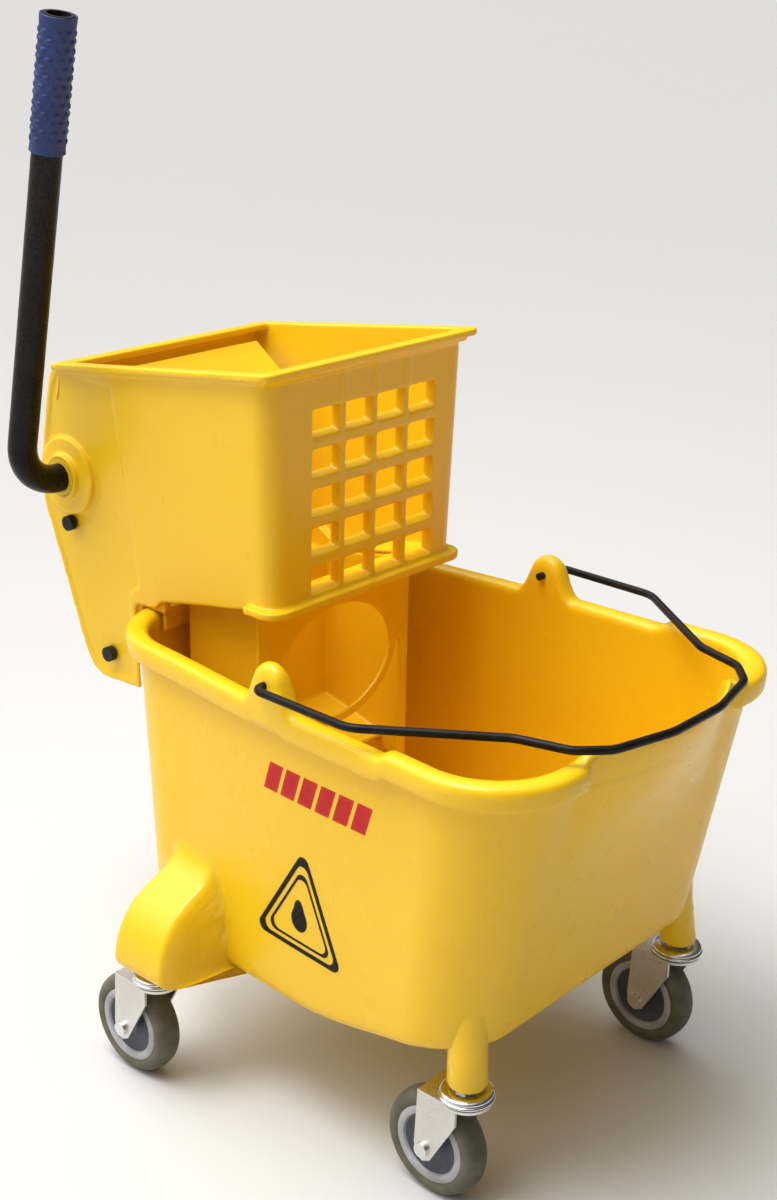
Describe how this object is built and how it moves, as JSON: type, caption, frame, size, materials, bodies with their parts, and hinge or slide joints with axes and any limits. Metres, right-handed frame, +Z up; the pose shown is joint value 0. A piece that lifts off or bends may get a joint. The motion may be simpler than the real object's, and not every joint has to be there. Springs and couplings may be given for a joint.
{
  "type": "mop bucket with wringer",
  "caption": "Oblong mop bucket on swivel casters with a wire bail and a lift-off side-press wringer worked by a long lever.",
  "frame": {"origin": "on the floor under the middle of the bucket", "axes": "+Z up, +X from the wringer towards the pouring lip, -Y the lever side"},
  "size_m": [0.6792, 0.47, 0.9112],
  "materials": {
    "bucket_plastic": "satin gloss",
    "wringer_plastic": "satin gloss",
    "bail_wire": "gloss",
    "bright_steel": "bright",
    "chrome_race": "polished",
    "zinc_steel": "zinc plated",
    "wheel_core": "satin",
    "hub_cover": "satin",
    "tyre_rubber": "matte",
    "bushing_plastic": "satin",
    "cast_zinc": "cast",
    "black_plastic": "satin",
    "lever_paint": "gloss",
    "grip_rubber": "dimpled"
  },
  "bodies": {
    "bucket": {"bucket_tub": "bucket_plastic", "caster_stem_1": "bright_steel", "caster_stem_2": "bright_steel", "caster_stem_3": "bright_steel", "caster_stem_4": "bright_steel", "swivel_race_1": "chrome_race", "swivel_race_2": "chrome_race", "swivel_race_3": "chrome_race", "swivel_race_4": "chrome_race"},
    "bail": {"bail_handle": "bail_wire"},
    "wringer": {"wringer_housing": "wringer_plastic", "drain_box": "wringer_plastic", "shaft_bushing_near": "bushing_plastic", "shaft_bushing_far": "bushing_plastic", "pivot_rod": "bright_steel", "pivot_rod_caps": "black_plastic", "stop_rod": "bright_steel", "stop_rod_caps": "black_plastic", "return_spring_near": "bright_steel", "return_spring_far": "bright_steel"},
    "press_plate": {"press_plate": "wringer_plastic", "rack_near": "wringer_plastic", "rack_far": "wringer_plastic"},
    "lever": {"lever_tube": "lever_paint", "lever_grip": "grip_rubber", "drive_shaft": "bright_steel", "pinion_near": "cast_zinc", "pinion_far": "cast_zinc", "pinion_bolts": "bright_steel"},
    "caster_1": {"caster_fork_1": "zinc_steel", "caster_axle_1": "bright_steel"},
    "wheel_1": {"wheel_core_1": "wheel_core", "hub_covers_1": "hub_cover", "tyre_1": "tyre_rubber"},
    "caster_2": {"caster_fork_2": "zinc_steel", "caster_axle_2": "bright_steel"},
    "wheel_2": {"wheel_core_2": "wheel_core", "hub_covers_2": "hub_cover", "tyre_2": "tyre_rubber"},
    "caster_3": {"caster_fork_3": "zinc_steel", "caster_axle_3": "bright_steel"},
    "wheel_3": {"wheel_core_3": "wheel_core", "hub_covers_3": "hub_cover", "tyre_3": "tyre_rubber"},
    "caster_4": {"caster_fork_4": "zinc_steel", "caster_axle_4": "bright_steel"},
    "wheel_4": {"wheel_core_4": "wheel_core", "hub_covers_4": "hub_cover", "tyre_4": "tyre_rubber"}
  },
  "joints": [
    {"name": "bail_swing", "type": "hinge", "parent": "bucket", "child": "bail", "pos_m": [-0.015, 0, 0.413], "axis": [0, -1, 0], "range_deg": [0, 98]},
    {"name": "wringer_lift", "type": "slide", "parent": "bucket", "child": "wringer", "axis": [0, 0, 1], "range_m": [0, 0.25]},
    {"name": "lever_press", "type": "hinge", "parent": "wringer", "child": "lever", "pos_m": [-0.34, 0, 0.501], "axis": [0, 1, 0], "range_deg": [0, 78], "stiffness_Nm_per_rad": 1.2, "springref_deg": -91.67},
    {"name": "press_plate_swing", "type": "hinge", "parent": "wringer", "child": "press_plate", "pos_m": [-0.297, 0, 0.336], "axis": [0, 1, 0], "range_deg": [0, 13.3]},
    {"name": "caster_1_swivel", "type": "hinge", "parent": "bucket", "child": "caster_1", "pos_m": [0.175, -0.15, 0.102], "axis": [0, 0, 1], "continuous": true},
    {"name": "wheel_1_roll", "type": "hinge", "parent": "caster_1", "child": "wheel_1", "pos_m": [0.1464, -0.15, 0.0468], "axis": [0, 1, 0], "continuous": true},
    {"name": "caster_2_swivel", "type": "hinge", "parent": "bucket", "child": "caster_2", "pos_m": [0.175, 0.15, 0.102], "axis": [0, 0, 1], "continuous": true},
    {"name": "wheel_2_roll", "type": "hinge", "parent": "caster_2", "child": "wheel_2", "pos_m": [0.1464, 0.15, 0.0468], "axis": [0, 1, 0], "continuous": true},
    {"name": "caster_3_swivel", "type": "hinge", "parent": "bucket", "child": "caster_3", "pos_m": [-0.131, -0.208, 0.102], "axis": [0, 0, 1], "continuous": true},
    {"name": "wheel_3_roll", "type": "hinge", "parent": "caster_3", "child": "wheel_3", "pos_m": [-0.1596, -0.208, 0.0468], "axis": [0, 1, 0], "continuous": true},
    {"name": "caster_4_swivel", "type": "hinge", "parent": "bucket", "child": "caster_4", "pos_m": [-0.131, 0.208, 0.102], "axis": [0, 0, 1], "continuous": true},
    {"name": "wheel_4_roll", "type": "hinge", "parent": "caster_4", "child": "wheel_4", "pos_m": [-0.1596, 0.208, 0.0468], "axis": [0, 1, 0], "continuous": true}
  ],
  "couplings": [
    {"joint": "press_plate_swing", "follows": "lever_press", "ratio": 0.17031}
  ]
}
